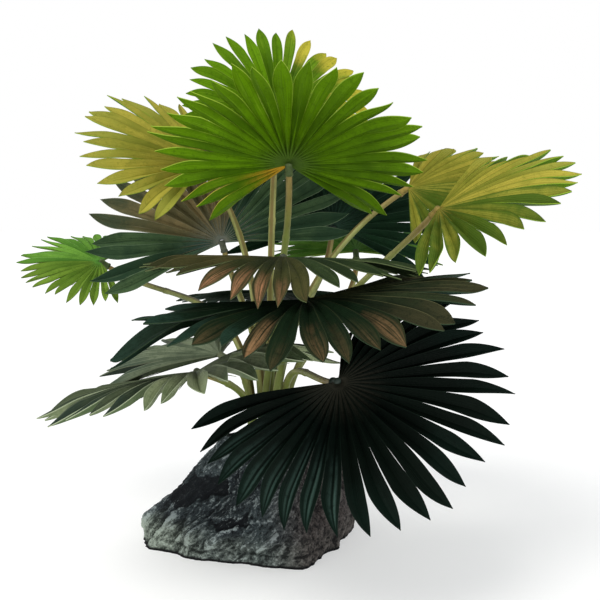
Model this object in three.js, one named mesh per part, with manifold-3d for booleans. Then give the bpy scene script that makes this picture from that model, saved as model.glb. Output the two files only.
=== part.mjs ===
// Artificial fan palm planted in a craggy rock base.
// Units are millimetres, +Z is up, and the front that faces the viewer is -Y.
// The origin is on the flat underside of the rock, near its middle.
import * as THREE from 'three';
import { mergeVertices } from 'three/addons/utils/BufferGeometryUtils.js';
import Module from 'manifold-3d';

const wasm = await Module();
wasm.setup();

// Driving dimensions
const JOINT_GAP = 0.3;            // clearance where two pieces meet
const ROCK_HEIGHT = 66;
const ROCK_TAPER = 0.7;           // how far the rock draws in from foot to top
const LEFT_STEEPNESS = 1.1;       // power of the level by which its left flank draws in
const RIGHT_STEEPNESS = 2.05;     // the same on the right, which stays steep to near the top
const ROCK_UNDERCUT = 0.06;       // how far its foot is drawn in under the widest ring
const ROCK_UNDERCUT_TOP = 0.22;   // level up to which it is undercut
const ROCK_CORNER_TURN = 0.09;    // radians between the rays that round its corners
const ROCK_RINGS = 12;
const ROCK_SIDES = 52;
const CROWN_X = 10;               // axis of the socket that the stems stand in
const CROWN_Y = 0;
const SOCKET_RADIUS = 13;
const SOCKET_DEPTH = 16;
const SOCKET_SIDES = 24;
const BLADE_THICKNESS = 1;
const LEAFLET_PITCH = 9.6;        // degrees of the fan that one leaflet takes
const LEAFLET_FILL = 0.95;        // share of that slice which a leaflet fills where it is widest
const WIDEST_AT = 0.76;           // share of a leaflet's length where it is widest
const SHOULDER_AT = 0.9;          // share where its sides turn in to the tip
const SHOULDER_WIDTH = 0.6;       // width there as a share of the widest
const PLEAT = 0.42;               // rise of the fold for each unit of half width
const SIDE_SHORTENING = 0.12;     // how much shorter the outermost leaflets are
const CUT_AT = 0.36;              // share of the radius where the shallowest cut between leaflets ends
const CUT_SPREAD = 0.16;          // how much further out the other cuts may end
const LENGTH_SPREAD = 0.08;       // how much shorter a leaflet may be than its line of the fan
const TIP_SPREAD = 0.05;          // how far the tips stand above or below it, as a share of the radius
const STEM_FOOT_RADIUS = 2.3;
const STEM_HEAD_RADIUS = 1.7;
const STEM_PULL = 0.33;           // share of a stem's reach over which it turns to its hub
const STEM_STEPS = 14;
const STEM_SIDES = 6;
const HUB_SOCKET_LENGTH = 7;
const HUB_SOCKET_RADIUS = 3;
const HUB_SOCKET_SIDES = 8;

// Corners of the rock's footprint. Its crags are folded waves round it: height is a share of its radius,
// turns is how many half waves go round in half a turn, and slant is how far they lean from foot to top.
// The hollow is a dent in its left flank and the ledge a step below that, placed by azimuth in degrees
// and by level, which is 0 at the foot and 1 at the top.
const ROCK_CORNERS = [[-92, 8], [30, -54], [80, 60], [-28, 68]];
const ROCK_CRAGS = [
  { height: 0.05, turns: 1.5, slant: 1.4, start: 0.6 },
  { height: 0.04, turns: 3.5, slant: 2.6, start: 0 },
  { height: 0.022, turns: 6.5, slant: 4.5, start: 1 },
];
const HOLLOW = { azimuth: 212, level: 0.56, depth: 0.14, turn: 24, height: 0.2 };
const LEDGE = { azimuth: 192, low: 0.22, high: 0.38, depth: 0.07 };
const FINISHES = {
  rock: { color: 0x4b5154, roughness: 0.85 },
  crown: { color: 0x4f5a2c, roughness: 0.7 },
  stem: { color: 0x7d8448, roughness: 0.55 },
  vivid: { color: 0x5c8a1e, roughness: 0.55 },
  golden: { color: 0x9a9440, roughness: 0.6 },
  bronze: { color: 0x5a5636, roughness: 0.6 },
  grey: { color: 0x59685a, roughness: 0.6 },
  dark: { color: 0x16291d, roughness: 0.6 },
};

// One entry per leaf. hub is where its stem meets the blade. face is the azimuth and elevation, in
// degrees, of the blade's upper side. clock turns its midrib from the uphill direction, clockwise as
// seen from the upper side. droop is the bend in degrees of the side leaflets and of the middle ones,
// and hang is a further bend of the leaflets about one angle from the midrib, and a stretch in their
// length, or a shortening where it is negative.
// The stem's foot stands on a ring of the crown at an azimuth, rise is how far it climbs straight up
// for its length, and lean is the angle from the midrib at which it arrives under the hub.
const LEAVES = [
  { name: 'top_front', finish: 'vivid', hub: [23, -46, 223], face: [86, 51], clock: -1, radius: 79,
    leaflets: 29, droop: [-6, 4], stem: { ring: 'inner', azimuth: -72, rise: 0.55, lean: 28 } },
  { name: 'top_back', finish: 'vivid', hub: [16, 12, 255], face: [-80, 26], clock: 4, radius: 64,
    leaflets: 21, droop: [5, 5], stem: { ring: 'inner', azimuth: 72, rise: 0.4, lean: 30 } },
  { name: 'upper_left', finish: 'golden', hub: [-30, 36, 226], face: [-50, 48], clock: -52, radius: 80,
    leaflets: 17, droop: [6, 6], stem: { ring: 'inner', azimuth: 216, rise: 0.4, lean: 35 } },
  { name: 'middle_left', finish: 'bronze', hub: [-20, 50, 179], face: [-95, 24], clock: -16, radius: 97,
    leaflets: 22, droop: [5, 5], stem: { ring: 'inner', azimuth: 144, rise: 0.6, lean: 30 } },
  { name: 'far_left', finish: 'vivid', hub: [-103, 86, 165], face: [-75, 64], clock: -75, radius: 55,
    leaflets: 25, droop: [8, 5], stem: { ring: 'outer', azimuth: 152, rise: 0.6, lean: 30 } },
  { name: 'right_front', finish: 'golden', hub: [105, -33, 199], face: [-145, 59], clock: 66, radius: 79,
    leaflets: 18, droop: [5, 5], stem: { ring: 'outer', azimuth: 20, rise: 0.4, lean: 30 } },
  { name: 'right_back', finish: 'golden', hub: [95, 34, 212], face: [-112, 60], clock: 78, radius: 72,
    leaflets: 18, droop: [8, 8], stem: { ring: 'inner', azimuth: 0, rise: 0.4, lean: 30 } },
  { name: 'front_upper', finish: 'bronze', hub: [20, -50, 173], face: [60, 87], clock: -30, radius: 84,
    leaflets: 25, droop: [7, 8], hang: { angle: -6, spread: 27, droop: 28, stretch: 0 },
    stem: { ring: 'outer', azimuth: -105, rise: 0.3, lean: 20 } },
  { name: 'front_middle', finish: 'dark', hub: [32, -80, 153], face: [175, 83], clock: 75, radius: 95,
    leaflets: 25, droop: [-5, 28], hang: { angle: -91, spread: 9, droop: 20, stretch: 0.24 },
    stem: { ring: 'outer', azimuth: -68, rise: 0.4, lean: 20 } },
  { name: 'lower_left_back', finish: 'grey', hub: [-18, 2, 114], face: [-122, 80], clock: -85, radius: 78,
    leaflets: 13, droop: [9, 7], stem: { ring: 'outer', azimuth: 186, rise: 0.4, lean: 20 } },
  { name: 'lower_left_front', finish: 'grey', hub: [-26, -60, 113], face: [150, 77], clock: 92, radius: 90,
    leaflets: 23, droop: [5, 10], stem: { ring: 'outer', azimuth: -140, rise: 0.4, lean: 20 } },
  { name: 'lower_right', finish: 'dark', hub: [48, -95, 113], face: [-102, 42], clock: 128, radius: 88,
    leaflets: 27, droop: [4, 4], hang: { angle: 125, spread: 26, droop: 0, stretch: -0.5 },
    stem: { ring: 'outer', azimuth: -25, rise: 0.6, lean: 45 } },
  { name: 'back_right', finish: 'dark', hub: [50, 66, 188], face: [-85, 30], clock: 8, radius: 82,
    leaflets: 24, droop: [10, 10], stem: { ring: 'outer', azimuth: 84, rise: 0.5, lean: 30 } },
  { name: 'rear_right', finish: 'vivid', hub: [66, 88, 172], face: [-90, 66], clock: 0, radius: 66,
    leaflets: 21, droop: [10, 10], stem: { ring: 'outer', azimuth: 50, rise: 0.35, lean: 30 } },
  { name: 'rear', finish: 'bronze', hub: [10, 98, 145], face: [90, 82], clock: 180, radius: 78,
    leaflets: 19, droop: [10, 14], stem: { ring: 'outer', azimuth: 112, rise: 0.52, lean: 22 } },
];
const FOOT_RINGS = { inner: 4.3, outer: 9.6 };

const radians = THREE.MathUtils.degToRad;

// A repeatable number from 0 to 1 for a leaf, one of its leaflets and a trait
function chance(leafIndex, leafletIndex, trait) {
  const value = Math.sin(leafIndex * 12.9898 + leafletIndex * 78.233 + trait * 37.719) * 43758.5453;
  return value - Math.floor(value);
}

function toSolid(geometry) {
  geometry.deleteAttribute('normal');
  geometry.deleteAttribute('uv');
  const merged = mergeVertices(geometry, 1e-4);
  return new wasm.Manifold(new wasm.Mesh({
    numProp: 3,
    vertProperties: Float32Array.from(merged.attributes.position.array),
    triVerts: Uint32Array.from(merged.index.array),
  }));
}

function toGeometry(solid) {
  const mesh = solid.getMesh();
  const geometry = new THREE.BufferGeometry();
  geometry.setAttribute('position', new THREE.BufferAttribute(mesh.vertProperties, 3));
  geometry.setIndex(new THREE.BufferAttribute(mesh.triVerts, 1));
  return geometry;
}

function fromPoints(points, triangles) {
  const geometry = new THREE.BufferGeometry();
  geometry.setFromPoints(points);
  geometry.setIndex(triangles.flat());
  return geometry;
}

function namedMesh(name, geometry, finish) {
  const material = new THREE.MeshStandardMaterial({ ...FINISHES[finish], metalness: 0 });
  const mesh = new THREE.Mesh(geometry, material);
  mesh.name = name;
  return mesh;
}

// The blade's own directions: along the midrib, across it, and out of the upper side
function bladeAxes(leaf) {
  const [azimuth, elevation] = leaf.face.map(radians);
  const normal = new THREE.Vector3(Math.cos(azimuth), Math.sin(azimuth), 0)
    .multiplyScalar(Math.cos(elevation)).setZ(Math.sin(elevation));
  const uphill = new THREE.Vector3(0, 0, 1).addScaledVector(normal, -normal.z).normalize();
  const right = new THREE.Vector3().crossVectors(uphill, normal);
  const turn = radians(leaf.clock);
  const midrib = uphill.multiplyScalar(Math.cos(turn)).addScaledVector(right, Math.sin(turn));
  return { midrib, across: new THREE.Vector3().crossVectors(normal, midrib), normal };
}

// Bend in radians from hub to tip along one line of the fan, and the line's length
function droopAndLength(leaf, angle) {
  const halfSpan = radians(LEAFLET_PITCH) * leaf.leaflets / 2;
  const length = leaf.radius * (1 - SIDE_SHORTENING * (angle / halfSpan) ** 2);
  const [side, middle] = leaf.droop.map(radians);
  const bend = side + (middle - side) * Math.max(0, Math.cos(angle)) ** 2;
  if (!leaf.hang) {
    return { bend, length };
  }
  const away = (angle - radians(leaf.hang.angle)) / radians(leaf.hang.spread);
  const near = Math.exp(-(away ** 2));
  return {
    bend: bend + radians(leaf.hang.droop) * near,
    length: length * (1 + leaf.hang.stretch * near),
  };
}

// Point, upper normal, sideways direction and full length at a share of the way out along one line of the fan
function ribPoint(leaf, axes, angle, share) {
  const { midrib, across } = axes;
  const outward = midrib.clone().multiplyScalar(Math.cos(angle)).addScaledVector(across, Math.sin(angle));
  const sideways = across.clone().multiplyScalar(Math.cos(angle)).addScaledVector(midrib, -Math.sin(angle));
  const { bend, length } = droopAndLength(leaf, angle);
  const slope = bend * share;
  const point = new THREE.Vector3(...leaf.hub)
    .addScaledVector(outward, length * Math.sin(slope) / bend)
    .addScaledVector(axes.normal, length * (Math.cos(slope) - 1) / bend);
  const normal = axes.normal.clone().multiplyScalar(Math.cos(slope))
    .addScaledVector(outward, Math.sin(slope));
  return { point, normal, sideways, length };
}

// A pleated fan of leaflets, cut between them to about two fifths of the radius
function bladeGeometry(leaf, leafIndex, axes) {
  const pitch = radians(LEAFLET_PITCH);
  const firstEdge = -pitch * leaf.leaflets / 2;
  const points = [];
  const triangles = [];
  const pair = (point, normal) => {
    points.push(point, point.clone().addScaledVector(normal, -BLADE_THICKNESS));
    return points.length - 2;
  };
  const face = (a, b, c) => triangles.push([a, b, c], [a + 1, c + 1, b + 1]);
  const wall = (from, to) => triangles.push([from + 1, to + 1, to], [from + 1, to, from]);
  const lifted = ({ point, normal, sideways }, aside, rise) => pair(
    point.clone().addScaledVector(sideways, aside).addScaledVector(normal, rise), normal);

  const hub = pair(new THREE.Vector3(...leaf.hub), axes.normal);
  const cutShares = [];
  const cuts = [];
  for (let edge = 0; edge <= leaf.leaflets; edge += 1) {
    cutShares.push(CUT_AT + CUT_SPREAD * chance(leafIndex, edge, 1));
    const halfPitch = leaf.radius * cutShares[edge] * Math.tan(pitch / 2);
    const line = ribPoint(leaf, axes, firstEdge + edge * pitch, cutShares[edge]);
    cuts.push(lifted(line, 0, halfPitch * PLEAT));
  }
  for (let index = 0; index < leaf.leaflets; index += 1) {
    const angle = firstEdge + (index + 0.5) * pitch;
    const growth = 1 - LENGTH_SPREAD * chance(leafIndex, index, 2);
    const flick = TIP_SPREAD * (chance(leafIndex, index, 3) - 0.5) * leaf.radius;
    const cutShare = (cutShares[index] + cutShares[index + 1]) / 2;
    const widest = ribPoint(leaf, axes, angle, WIDEST_AT * growth);
    const halfWidth = LEAFLET_FILL * widest.length * WIDEST_AT * growth * Math.tan(pitch / 2);
    const fold = halfWidth * PLEAT;
    const root = lifted(ribPoint(leaf, axes, angle, cutShare), 0, -fold);
    const left = lifted(widest, -halfWidth, fold + flick / 2);
    const middle = lifted(widest, 0, flick / 2 - fold);
    const right = lifted(widest, halfWidth, fold + flick / 2);
    const shoulder = ribPoint(leaf, axes, angle, SHOULDER_AT * growth);
    const [shoulderLeft, shoulderRight] = [-1, 1].map((hand) => lifted(
      shoulder, hand * halfWidth * SHOULDER_WIDTH, fold * SHOULDER_WIDTH + flick * SHOULDER_AT));
    const tip = lifted(ribPoint(leaf, axes, angle, growth), 0, flick);
    const [before, after] = [cuts[index], cuts[index + 1]];
    face(hub, before, root);
    face(hub, root, after);
    face(before, left, middle);
    face(before, middle, root);
    face(root, middle, right);
    face(root, right, after);
    face(left, shoulderLeft, middle);
    face(shoulderLeft, tip, middle);
    face(middle, tip, shoulderRight);
    face(middle, shoulderRight, right);
    wall(before, left);
    wall(left, shoulderLeft);
    wall(shoulderLeft, tip);
    wall(tip, shoulderRight);
    wall(shoulderRight, right);
    wall(right, after);
  }
  wall(hub, cuts[0]);
  wall(cuts[leaf.leaflets], hub);
  return fromPoints(points, triangles);
}

// A tapering round rod along a curve, with flat ends
function rodGeometry(curve, radiusAt, steps, sides) {
  const frames = curve.computeFrenetFrames(steps);
  const points = [];
  const triangles = [];
  for (let step = 0; step <= steps; step += 1) {
    const centre = curve.getPointAt(step / steps);
    for (let side = 0; side < sides; side += 1) {
      const turn = 2 * Math.PI * side / sides;
      points.push(centre.clone()
        .addScaledVector(frames.normals[step], radiusAt(step / steps) * Math.cos(turn))
        .addScaledVector(frames.binormals[step], radiusAt(step / steps) * Math.sin(turn)));
    }
  }
  for (let step = 0; step < steps; step += 1) {
    for (let side = 0; side < sides; side += 1) {
      const [a, b] = [step * sides + side, step * sides + (side + 1) % sides];
      triangles.push([a, b, b + sides], [a, b + sides, a + sides]);
    }
  }
  const last = steps * sides;
  for (let side = 1; side < sides - 1; side += 1) {
    triangles.push([0, side + 1, side], [last, last + side, last + side + 1]);
  }
  return fromPoints(points, triangles);
}

// Direction in which the stem arrives under the hub
function arrival(leaf, axes) {
  const lean = radians(leaf.stem.lean);
  return axes.midrib.clone().multiplyScalar(Math.cos(lean))
    .addScaledVector(axes.normal, Math.sin(lean));
}

function stemCurve(leaf, axes) {
  const { ring, azimuth, rise } = leaf.stem;
  const foot = new THREE.Vector3(
    CROWN_X + FOOT_RINGS[ring] * Math.cos(radians(azimuth)),
    CROWN_Y + FOOT_RINGS[ring] * Math.sin(radians(azimuth)),
    ROCK_HEIGHT + JOINT_GAP);
  const into = arrival(leaf, axes);
  const setBack = HUB_SOCKET_LENGTH + JOINT_GAP;
  const head = new THREE.Vector3(...leaf.hub).addScaledVector(into, -setBack);
  const reach = foot.distanceTo(head);
  const rising = foot.clone().add(new THREE.Vector3(0, 0, reach * rise));
  const arriving = head.clone().addScaledVector(into, -reach * STEM_PULL);
  return new THREE.CubicBezierCurve3(foot, rising, arriving, head);
}

function stemGeometry(leaf, axes) {
  const radiusAt = (share) => THREE.MathUtils.lerp(STEM_FOOT_RADIUS, STEM_HEAD_RADIUS, share);
  return rodGeometry(stemCurve(leaf, axes), radiusAt, STEM_STEPS, STEM_SIDES);
}

// Short socket under the blade's hub that the stem's head is pushed up to
function hubSocketGeometry(leaf, axes) {
  const into = arrival(leaf, axes);
  const top = new THREE.Vector3(...leaf.hub);
  const line = new THREE.LineCurve3(top.clone().addScaledVector(into, -HUB_SOCKET_LENGTH), top);
  return rodGeometry(line, () => HUB_SOCKET_RADIUS, 1, HUB_SOCKET_SIDES);
}

// Distance from the socket's axis to the straight-sided footprint, along one azimuth
function footprintRadius(azimuth) {
  const ray = new THREE.Vector2(Math.cos(azimuth), Math.sin(azimuth));
  const corners = ROCK_CORNERS.map(([x, y]) => new THREE.Vector2(x - CROWN_X, y - CROWN_Y));
  for (let index = 0; index < corners.length; index += 1) {
    const start = corners[index];
    const side = corners[(index + 1) % corners.length].clone().sub(start);
    const across = ray.cross(side);
    const along = start.cross(ray) / across;
    if (across > 0 && along >= 0 && along <= 1) {
      return start.cross(side) / across;
    }
  }
  return 0;
}

// The same with rounded corners
function roundedFootprint(azimuth) {
  const offsets = [-2, -1, 0, 1, 2].map((step) => step * ROCK_CORNER_TURN);
  return offsets.reduce((sum, offset) => sum + footprintRadius(azimuth + offset), 0) / offsets.length;
}

// Signed turn from one azimuth to another, the short way round
function turnBetween(azimuth, other) {
  return Math.atan2(Math.sin(azimuth - other), Math.cos(azimuth - other));
}

// A folded wave that rises to sharp ridges, from -1 to 1
function ridge(turn) {
  return 1 - 2 * Math.abs(Math.sin(turn));
}

// Point on the rock's face at an azimuth and a level from 0 at its foot to 1 at its top
function rockPoint(azimuth, level) {
  const { lerp, smoothstep } = THREE.MathUtils;
  const undercut = ROCK_UNDERCUT * (1 - smoothstep(level, 0, ROCK_UNDERCUT_TOP));
  const steepness = lerp(LEFT_STEEPNESS, RIGHT_STEEPNESS, (1 + Math.cos(azimuth)) / 2);
  const taper = 1 - ROCK_TAPER * level ** steepness;
  const crag = ROCK_CRAGS.reduce((sum, { height, turns, slant, start }) => (
    sum + height * ridge(turns * azimuth - slant * level + start)), 0);
  const fromHollow = turnBetween(azimuth, radians(HOLLOW.azimuth)) / radians(HOLLOW.turn);
  const aboveHollow = (level - HOLLOW.level) / HOLLOW.height;
  const hollow = HOLLOW.depth * Math.exp(-(fromHollow ** 2) - aboveHollow ** 2);
  const facingLedge = Math.max(0, Math.cos(azimuth - radians(LEDGE.azimuth))) ** 2;
  const ledge = LEDGE.depth * facingLedge * smoothstep(level, LEDGE.low, LEDGE.high);
  const shape = taper - undercut - (hollow + ledge) * (1 - level);
  const radius = roundedFootprint(azimuth) * shape * (1 + crag * (1 - level));
  return new THREE.Vector3(
    CROWN_X + radius * Math.cos(azimuth), CROWN_Y + radius * Math.sin(azimuth), ROCK_HEIGHT * level);
}

// The rock: rings of its footprint that draw in towards the top, with crags and a flat underside
function rockGeometry() {
  const points = [];
  const triangles = [];
  for (let ring = 0; ring <= ROCK_RINGS; ring += 1) {
    for (let side = 0; side < ROCK_SIDES; side += 1) {
      points.push(rockPoint(2 * Math.PI * side / ROCK_SIDES, ring / ROCK_RINGS));
    }
  }
  for (let ring = 0; ring < ROCK_RINGS; ring += 1) {
    for (let side = 0; side < ROCK_SIDES; side += 1) {
      const [a, b] = [ring * ROCK_SIDES + side, ring * ROCK_SIDES + (side + 1) % ROCK_SIDES];
      triangles.push([a, b, b + ROCK_SIDES], [a, b + ROCK_SIDES, a + ROCK_SIDES]);
    }
  }
  const floor = points.push(new THREE.Vector3(CROWN_X, CROWN_Y, 0)) - 1;
  const top = points.push(new THREE.Vector3(CROWN_X, CROWN_Y, ROCK_HEIGHT)) - 1;
  const lastRing = ROCK_RINGS * ROCK_SIDES;
  for (let side = 0; side < ROCK_SIDES; side += 1) {
    const next = (side + 1) % ROCK_SIDES;
    triangles.push([floor, next, side], [top, lastRing + side, lastRing + next]);
  }
  return fromPoints(points, triangles);
}

function uprightCylinder(radius, bottom, top) {
  const geometry = new THREE.CylinderGeometry(radius, radius, top - bottom, SOCKET_SIDES);
  return geometry.rotateX(Math.PI / 2).translate(CROWN_X, CROWN_Y, (bottom + top) / 2);
}

const palm = new THREE.Group();
const socketFloor = ROCK_HEIGHT - SOCKET_DEPTH;
const socket = toSolid(uprightCylinder(SOCKET_RADIUS, socketFloor, ROCK_HEIGHT + 1));
palm.add(namedMesh('rock_base', toGeometry(toSolid(rockGeometry()).subtract(socket)), 'rock'));
palm.add(namedMesh(
  'stem_crown', uprightCylinder(SOCKET_RADIUS - JOINT_GAP, socketFloor + JOINT_GAP, ROCK_HEIGHT), 'crown'));

LEAVES.forEach((leaf, leafIndex) => {
  const axes = bladeAxes(leaf);
  const blade = toSolid(bladeGeometry(leaf, leafIndex, axes)).add(toSolid(hubSocketGeometry(leaf, axes)));
  palm.add(namedMesh(`blade_${leaf.name}`, toGeometry(blade), leaf.finish));
  palm.add(namedMesh(`stem_${leaf.name}`, stemGeometry(leaf, axes), 'stem'));
});

export default palm;
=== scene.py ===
"""Looks of an artificial fan palm in a rock base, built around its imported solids.

The plant's sizes are millimetres, as in the solids. The stage and the materials' scales are in metres.
"""
import math
from functools import partial, reduce

import bpy
import numpy as np
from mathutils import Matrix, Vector, noise


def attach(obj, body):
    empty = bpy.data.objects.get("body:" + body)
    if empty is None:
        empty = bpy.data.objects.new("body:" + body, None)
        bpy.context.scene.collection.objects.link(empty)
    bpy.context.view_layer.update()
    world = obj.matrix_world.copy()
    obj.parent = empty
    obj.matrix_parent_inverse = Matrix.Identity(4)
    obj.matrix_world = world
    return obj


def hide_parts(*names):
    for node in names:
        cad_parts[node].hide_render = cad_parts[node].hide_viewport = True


MM = 0.001

# The camera of the photograph: its place in millimetres, its downward tilt, and its focal length in
# pixels of a frame 600 pixels wide
CAMERA_PLACE = (29, -620, 195)
CAMERA_TILT = 4.5
FOCAL_PIXELS = 1069
FRAME_PIXELS = 600
SENSOR_WIDTH = 36

# Stage: a soft sun and a fill light that aim at the middle of the plant, a pale sky and a white floor
AIM = (0, 0, 0.17)
KEY_PLACE, KEY = (-0.5, -0.6, 1.2), dict(energy=1.9, angle=math.radians(35), color=(1, 0.98, 0.94))
FILL_PLACE, FILL = (0.3, -1.0, 0.2), dict(energy=5.0, size=0.6)
SKY_COLOUR, SKY_STRENGTH = (0.95, 0.98, 1, 1), 0.65
FLOOR_HALF, FLOOR_GREY, FLOOR_GLOW = 12.0, (206, 206, 206), 0.42

# The rock and the socket in it, as in the solids
ROCK_HEIGHT = 66
ROCK_TAPER = 0.7
LEFT_STEEPNESS = 1.1
RIGHT_STEEPNESS = 2.05
ROCK_UNDERCUT = 0.06
ROCK_UNDERCUT_TOP = 0.22
ROCK_CORNER_TURN = 0.09
ROCK_CORNERS = ((-92, 8), (30, -54), (80, 60), (-28, 68))
ROCK_CRAGS = (  # height as a share of the radius, turns, slant, start
    (0.05, 1.5, 1.4, 0.6),
    (0.04, 3.5, 2.6, 0.0),
    (0.022, 6.5, 4.5, 1.0),
)
HOLLOW_AZIMUTH, HOLLOW_LEVEL, HOLLOW_DEPTH, HOLLOW_TURN, HOLLOW_HEIGHT = 212, 0.56, 0.14, 24, 0.2
LEDGE_AZIMUTH, LEDGE_LOW, LEDGE_HIGH, LEDGE_DEPTH = 192, 0.22, 0.38, 0.07
CROWN_X, CROWN_Y = 10, 0
SOCKET_RADIUS = 13

# What the finer rock adds. The seed is for noise vectors, which would differ from run to run without one.
ROCK_SEED = 6
ROCK_SIDES, ROCK_RINGS, TOP_RINGS = 500, 150, 18
WELL_DEPTH, MOUTH_PLAY, RIM_WIDTH = 9, 0.4, 0.6
STREAK, STREAK_DRAW = (0.72, 0.15, 0.68), 0.55
CRAG_WARPS = ((0.05, 3), (0.16, 1))  # scale and size of the wandering
CRAG_FACETS = ((26, 14, 0.42), (8.5, 9, 0.55))  # size, sharpness, and height as a share of the size
FACET_LEAN, FACET_STEP = 1.1, 0.5
LEAN_DRAW, STEP_DRAW = 3.7, 5.3  # scales that draw an unlike lean and step for each facet
FINE_SCALE, FINE_RIDGES, FINE_MEAN = 0.17, (0.7, 2.2, 5, 0.9, 2.0), 1.1
GRIT_SCALE, GRIT, GRIT_HEIGHT = 0.5, (0.5, 2.2, 4), 0.6
CRAG_FOOT, CRAG_RISE, CRAG_TOP, CRAG_TOP_LOSS = 0.45, 3, 0.8, 0.6
TOP_RELIEF, TOP_DROP = 0.35, 0.2
RIDGE_CELLS = 6
GROOVE_LEVEL, GROOVE_HALF, GROOVE_DEPTH, GROOVE_FACING = 6.5, 0.8, 1.1, (-0.2, 0.4)
GROOVE_WAVER, GROOVE_WAVES = 3, 3

# Facets broken out of the rock's front: middle across and up, lean, half length, half height and depth,
# then their outline in shares of the half height and half length, with edges that are jagged
ROCK_DENTS = (((-34, 36), 15, 21, 12, 1.0), ((-9, 22), 25, 13, 4.5, 0.5))
DENT_DEPTH, DENT_SMOOTHING = 4.0, 0.6
DENT_FLOOR, DENT_ROOF, DENT_ENDS = (-0.75, -0.6), (-0.5, 0.2), (0.7, 1.0)
ROOF_HEIGHT, ROOF_FALL_RIGHT, ROOF_FALL_LEFT = 0.9, 0.75, 0.35
DENT_JAGS = ((0.09, 4.5), (0.3, 1.6))
DENT_BACK, DENT_BACK_JAG = 16, 2

# The plug in the rock's socket
PLUG_SIDES, PLUG_RINGS = 72, 18
PLUG_RADIUS, PLUG_DEPTH, PLUG_TOP = SOCKET_RADIUS - 0.2, 8, 0.6
MOUND_EDGE, MOUND_RISE = 2.2, 1.6
LUMP_SCALE, LUMPS, LUMP_HEIGHT = 0.35, (0.8, 2.0, 3), 0.7

# The leaves, as in the solids
LEAFLET_PITCH = 9.6
WIDEST_AT = 0.76
PLEAT = 0.42
SIDE_SHORTENING = 0.12
CUT_AT, CUT_SPREAD = 0.36, 0.16
LENGTH_SPREAD = 0.08
TIP_SPREAD = 0.05
STEM_FOOT_RADIUS, STEM_HEAD_RADIUS = 2.3, 1.7
STEM_PULL = 0.33
JOINT_GAP = 0.3
HUB_SOCKET_LENGTH = 7
FOOT_RINGS = {"inner": 4.3, "outer": 9.6}

# What chance varies from leaflet to leaflet and from stem to stem: the first three in the solids too
CUT, LENGTH, FLICK, SAG, ROLL, SWAY, TONE, DEAL, WAVE, SLIT, SLEEVE, STEM_TONE, POWER, SWEEP = range(1, 15)

# What the finer leaves add to the solids
BLADE_THICKNESS = 0.45
RIM_TONE = 2.0  # stands for the cut rims where leaflets have a tone from 0 to 1
HUB_SHARE, JOINED_END = 0.018, 0.54
JOINED_ROWS, FREE_ROWS = 13, 18
ROW_CROWDING = 1.35  # how much closer the rows lie towards the tips
COLUMNS = np.array([-1, -0.67, -0.33, 0, 0.33, 0.67, 1.0])
TIP_CUT = 0.985  # where the taper stops short of a point
BLUNT_SIDE = (-0.2, 0.4)  # where blunter tips begin and end, as shares of the half span
POWER_LEAST, POWER_MORE = 0.8, 0.5
SLIT_LEAST, SLIT_MORE, SLIT_RUN = 0.25, 2.25, 0.3
SWEEP_ANGLE, SWEEP_SPREAD, SWEEP_BEND = 0.5, 0.5, 1.5
SWAY_ANGLE = 0.03
FOLD_ROUNDING = 0.14
CREASE_FADE = (0.3, 0.85)
SAG_SHARE = 0.05
CURL_FROM = 0.45
ARCH_AT, ARCH_HALF = 0.8, 0.4
ROLL_SPREAD = 44
WAVE_HEIGHT, WAVE_COUNT = 0.35, 2.2
DEAL_SPREAD = 0.1
TUBE_SIDE = 0.3  # stands for the place across a leaflet on ribs and hubs
RIB_SIDES, HUB_SIDES = 6, 18
UNDER_RIB, UPPER_RIB = (0.66, 12, 0.75, 0.12), (0.3, 8, 0.5, 0.08)  # reach, rings, radii of both ends
HUB_PROFILE = (  # height above the socket's mouth, radius
    (0, 1.9), (0.15, 2.4), (1.2, 2.4), (1.5, 2.1), (4.6, 2.0), (6.4, 2.2), (7.0, 2.1), (7.4, 1.7), (7.7, 0.9),
    (7.75, 0.2),
)

# What the finer stems add: sunk ends, a sleeve with lips (start, end, height) below its mouth, and a channel
# between two ridges, in shares of the radius and radians from its middle
STEM_RINGS, STEM_SIDES = 150, 20
STEM_SUNK, STEM_PUSH = 6.0, 1.2
SLEEVE_AT, SLEEVE_SPREAD, SLEEVE_END = 0.6, 0.2, 0.5
SLEEVE_LIPS = ((-4.5, -4.0, 0.1), (-1.6, -1.2, 0.06))
CHANNEL_DEPTH, CHANNEL_HALF, CHANNEL_TURN = 0.3, 0.5, 1.15
RIDGE_HEIGHT, RIDGE_AT, RIDGE_HALF = 0.07, 0.85, 0.25

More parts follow.
